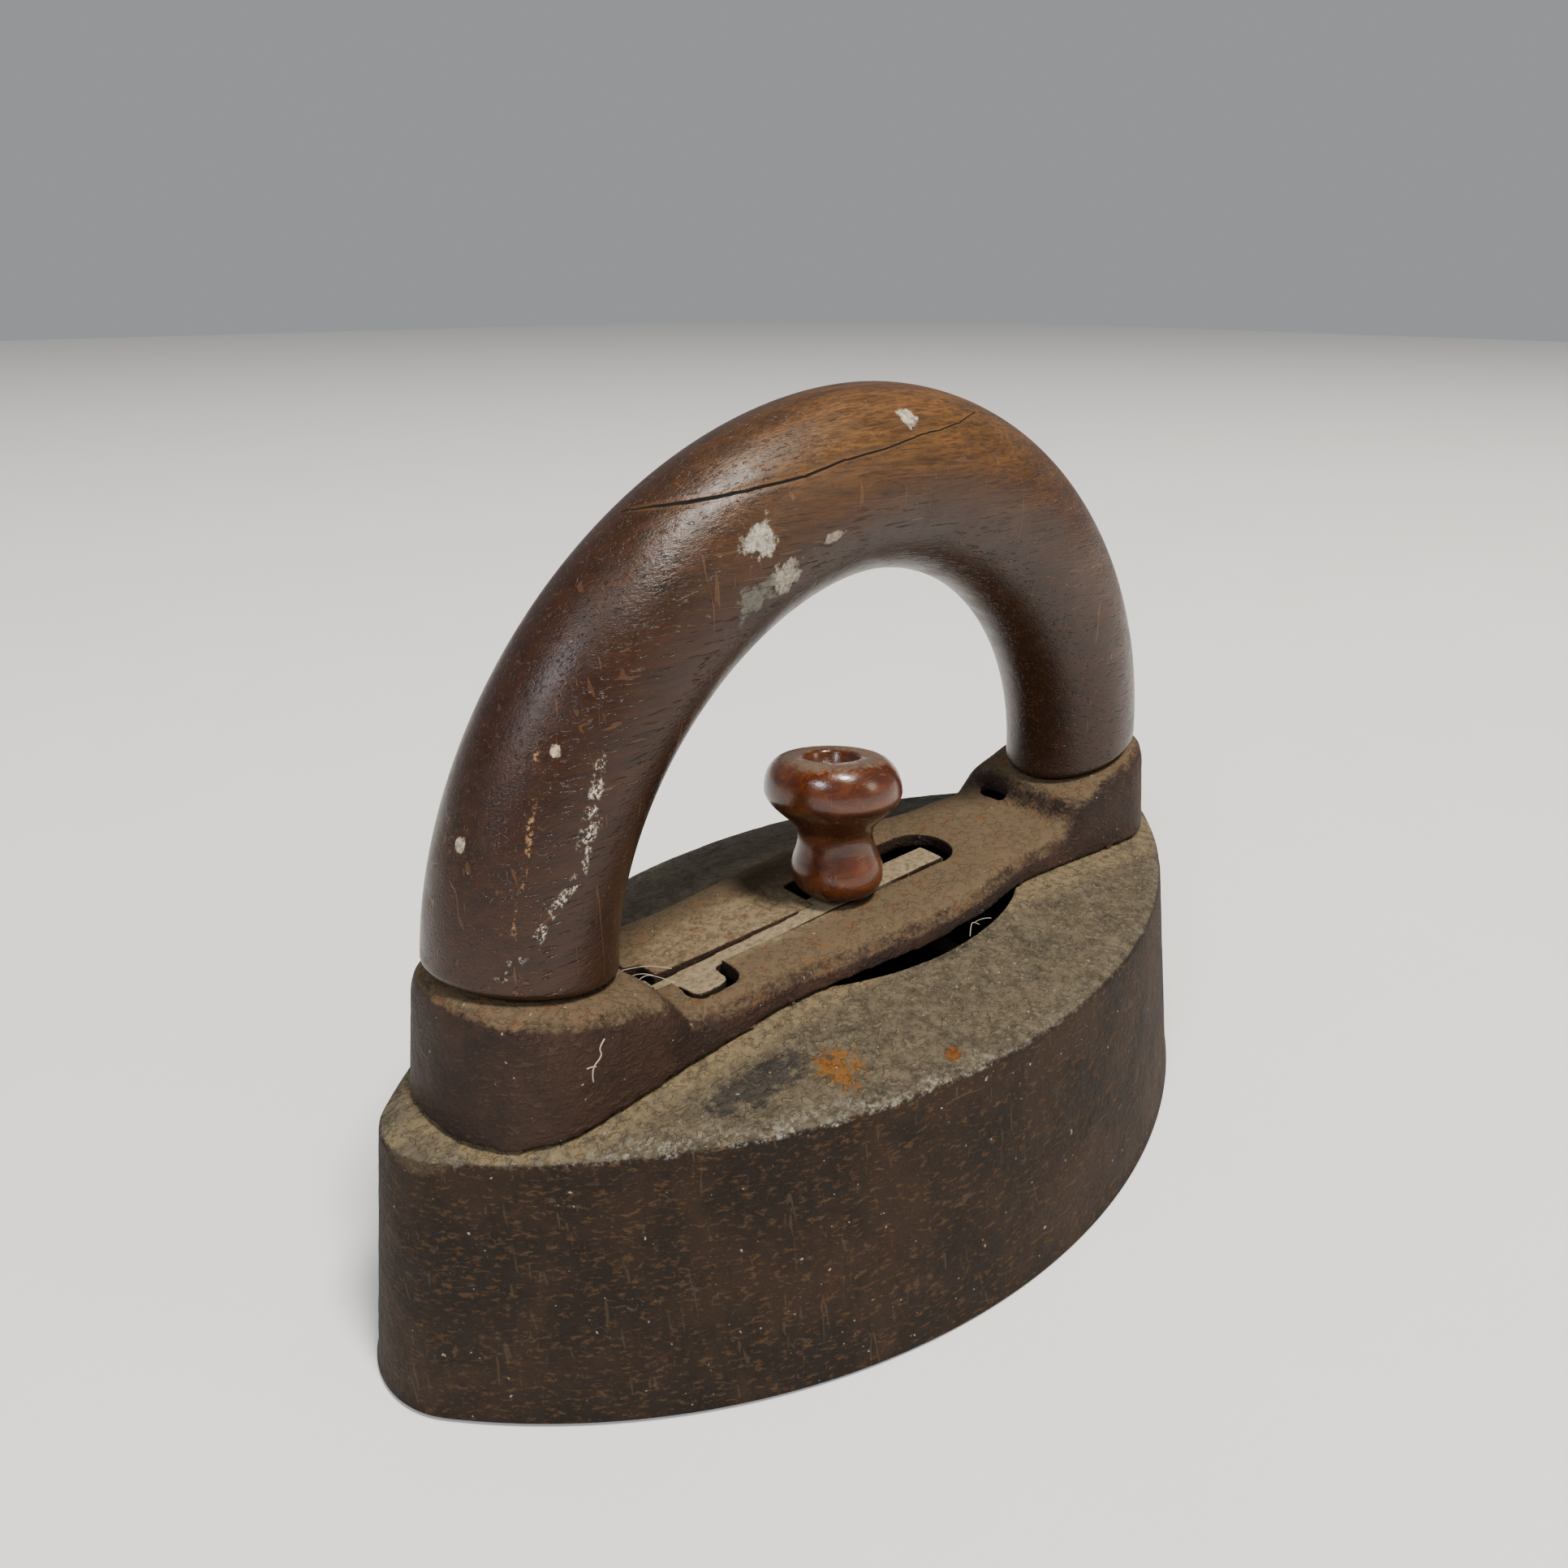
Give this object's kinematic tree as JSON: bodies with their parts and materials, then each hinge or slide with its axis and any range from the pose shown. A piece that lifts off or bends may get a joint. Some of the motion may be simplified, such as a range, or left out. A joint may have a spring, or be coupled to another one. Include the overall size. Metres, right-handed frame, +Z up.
{
  "type": "clothes iron",
  "caption": "Double-pointed cast-iron flat iron heated on a stove, with an arched wooden handle on an iron saddle that lifts off when its knob and latch lever are raised.",
  "frame": {"origin": "centre of the sole, on the surface the iron stands on", "axes": "+X along the sole towards the pointed end away from the latch lever's hinge, +Y across the sole, +Z up through the handle"},
  "size_m": [0.16, 0.0874, 0.117],
  "materials": {
    "slug_iron": "matte, fine-grained, browned",
    "saddle_iron": "matte, dusty, slightly smoother",
    "grip_wood": "worn brown varnish",
    "knob_wood": "glossy red-brown varnish",
    "lever_steel": "dull, dusty, browned",
    "dull_steel": "dull grey-brown",
    "dark_steel": "dark oxide"
  },
  "bodies": {
    "iron": {"iron_body": "slug_iron", "front_catch_bar": "dark_steel", "rear_catch_bar": "dark_steel"},
    "handle": {"handle_saddle": "saddle_iron", "wooden_grip": "grip_wood", "front_grip_screw": "dull_steel", "rear_grip_screw": "dull_steel", "front_screw_washer": "dull_steel", "rear_screw_washer": "dull_steel", "front_hook": "dark_steel", "rear_hook": "dark_steel", "front_hook_rivet_left": "dull_steel", "front_hook_rivet_right": "dull_steel", "rear_hook_rivet_left": "dull_steel", "rear_hook_rivet_right": "dull_steel", "lever_pivot_pin": "dull_steel", "latch_spring": "dark_steel"},
    "latch": {"latch_lever": "lever_steel", "release_knob": "knob_wood", "knob_screw": "dark_steel", "knob_washer": "dark_steel", "knob_nut": "dark_steel"}
  },
  "joints": [
    {"name": "handle_lift", "type": "slide", "parent": "iron", "child": "handle", "axis": [0, 0, 1], "range_m": [0, 0.06]},
    {"name": "latch_lever_hinge", "type": "hinge", "parent": "handle", "child": "latch", "pos_m": [-0.0412, 0, 0.0426], "axis": [0, -1, 0], "range_deg": [0, 7], "stiffness_Nm_per_rad": 0.6, "springref_deg": -8.59}
  ]
}
